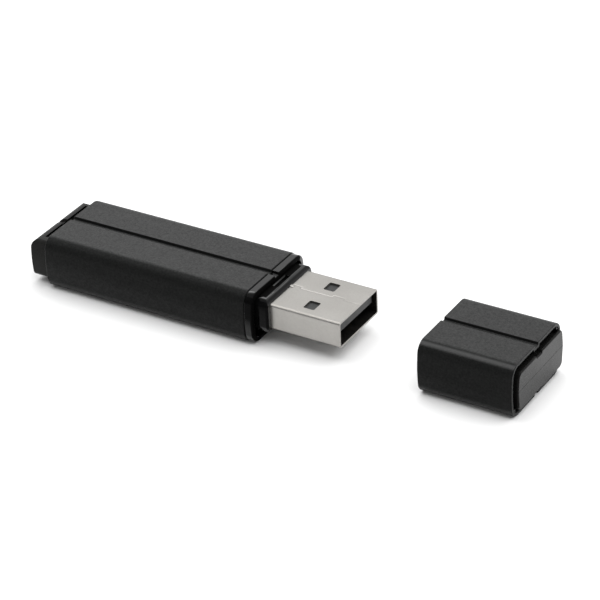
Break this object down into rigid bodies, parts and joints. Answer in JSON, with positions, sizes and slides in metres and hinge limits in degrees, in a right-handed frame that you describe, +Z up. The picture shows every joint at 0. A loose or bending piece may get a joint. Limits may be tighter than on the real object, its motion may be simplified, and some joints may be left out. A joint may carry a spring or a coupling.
{
  "type": "usb flash drive",
  "caption": "Slim rectangular flash drive with a grooved black sleeve, a standard-A plug and a pull-off cap lying in line with it.",
  "frame": {"origin": "on the surface the drive rests on, under the centre of the box round drive and cap", "axes": "+X along the drive from its tail towards the plug and the cap, +Z up, grooves above and below"},
  "size_m": [0.0894, 0.0166, 0.0092],
  "materials": {
    "anodised": "black anodised over a fine blast, satin",
    "satin_black": "satin black moulded plastic",
    "gloss_black": "glossy black moulded plastic",
    "core_plastic": "plain dark moulded plastic",
    "plated_steel": "nickel-plated, fine satin with a warm tint",
    "insulator": "matt black moulded plastic",
    "contact_gold": "gold-plated spring strip",
    "board": "green solder mask on glass-epoxy board",
    "chip": "matt black moulding compound",
    "crystal_can": "drawn metal can",
    "ceramic": "tan ceramic"
  },
  "bodies": {
    "drive": {"body_sleeve": "anodised", "tail_plug": "satin_black", "front_bezel": "gloss_black", "nose_block": "gloss_black", "core_upper_shell": "core_plastic", "core_lower_shell": "core_plastic", "plug_shell": "plated_steel", "plug_insulator": "insulator", "contact_power": "contact_gold", "contact_data_minus": "contact_gold", "contact_data_plus": "contact_gold", "contact_ground": "contact_gold", "circuit_board": "board", "controller_chip": "chip", "flash_memory_chip": "chip", "crystal": "crystal_can", "capacitor_1": "ceramic", "capacitor_2": "ceramic", "capacitor_3": "ceramic", "capacitor_4": "ceramic", "resistor_1": "chip", "resistor_2": "chip"},
    "cap": {"cap_sleeve": "anodised", "cap_insert_upper": "satin_black", "cap_insert_lower": "satin_black"}
  },
  "joints": [
    {"name": "cap_pull", "type": "slide", "parent": "drive", "child": "cap", "axis": [1, 0, 0], "range_m": [-0.02945, 0]}
  ]
}
